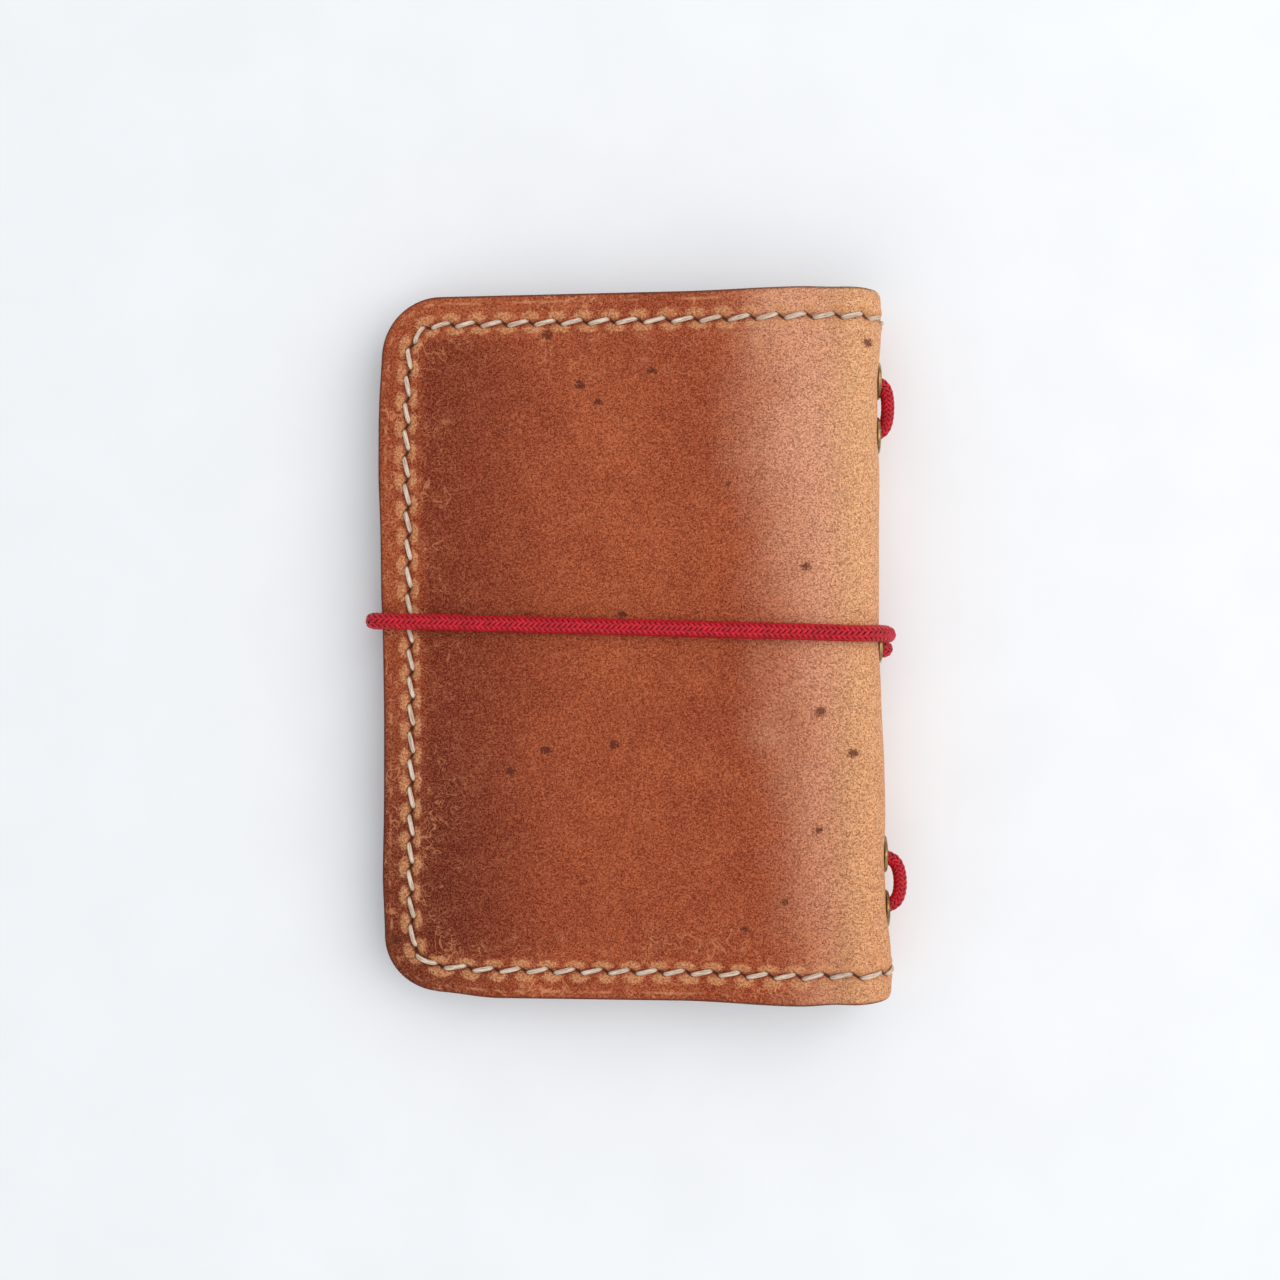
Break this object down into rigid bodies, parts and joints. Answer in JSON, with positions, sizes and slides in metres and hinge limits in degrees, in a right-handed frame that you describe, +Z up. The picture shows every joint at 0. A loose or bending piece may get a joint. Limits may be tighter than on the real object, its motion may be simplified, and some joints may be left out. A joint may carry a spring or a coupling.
{
  "type": "folding leather card holder",
  "caption": "Folding leather card holder with a rounded spine, saddle-stitched edges, card pockets inside, brass eyelets and an elastic band that holds it shut.",
  "frame": {"origin": "middle of the bounding box on the surface that the closed folder lies on", "axes": "+Y along the spine, +X towards the spine, +Z up through the front cover"},
  "size_m": [0.0783, 0.103, 0.0178],
  "materials": {
    "outer_leather": "waxed vegetable-tanned hide, satin",
    "lining": "plain split leather, matt",
    "pocket_leather": "thin hide, satin",
    "brass": "antique, worn satin",
    "elastic": "round braided elastic cord",
    "thread": "waxed linen thread"
  },
  "bodies": {
    "back_cover": {"back_cover_leather": "outer_leather", "back_lining": "lining", "back_pocket": "pocket_leather", "back_card_slot": "pocket_leather", "back_stitching": "thread"},
    "spine_back": {"spine_leather_back": "outer_leather", "spine_lining_back": "lining", "spine_stitching_back": "thread"},
    "spine": {"spine_leather_middle": "outer_leather", "spine_lining_middle": "lining", "spine_stitching_middle": "thread", "eyelets": "brass", "eyelet_washers": "brass", "insert_elastic": "elastic", "insert_elastic_knot": "elastic", "closure_band_knot": "elastic"},
    "spine_front": {"spine_leather_front": "outer_leather", "spine_lining_front": "lining", "spine_stitching_front": "thread"},
    "front_cover": {"front_cover_leather": "outer_leather", "front_lining": "lining", "front_pocket": "pocket_leather", "front_stitching": "thread"},
    "closure_band": {"closure_band": "elastic"}
  },
  "joints": [
    {"name": "cover_open", "type": "hinge", "parent": "back_cover", "child": "spine_back", "pos_m": [0.03339, 0, 0.0013], "axis": [0, 1, 0], "range_deg": [0, 46.25]},
    {"name": "spine_bend_back", "type": "hinge", "parent": "spine_back", "child": "spine", "pos_m": [0.0365, 0, 0.00455], "axis": [0, 1, 0], "range_deg": [0, 46.25]},
    {"name": "spine_bend_front", "type": "hinge", "parent": "spine", "child": "spine_front", "pos_m": [0.03616, 0, 0.01234], "axis": [0, 1, 0], "range_deg": [0, 46.25]},
    {"name": "front_cover_bend", "type": "hinge", "parent": "spine_front", "child": "front_cover", "pos_m": [0.03278, 0, 0.01531], "axis": [0, 1, 0], "range_deg": [0, 46.25]},
    {"name": "band_release", "type": "hinge", "parent": "spine", "child": "closure_band", "pos_m": [0.03753, 0.0012, 0.0085], "axis": [-0.0436, 0.0499, 0.9978], "range_deg": [0, 91.4], "deforming": ["closure_band"]}
  ],
  "couplings": [
    {"joint": "spine_bend_back", "follows": "cover_open", "ratio": 1},
    {"joint": "spine_bend_front", "follows": "cover_open", "ratio": 1},
    {"joint": "front_cover_bend", "follows": "cover_open", "ratio": 1},
    {"joint": "band_release", "follows": "cover_open", "ratio": 1.976}
  ]
}
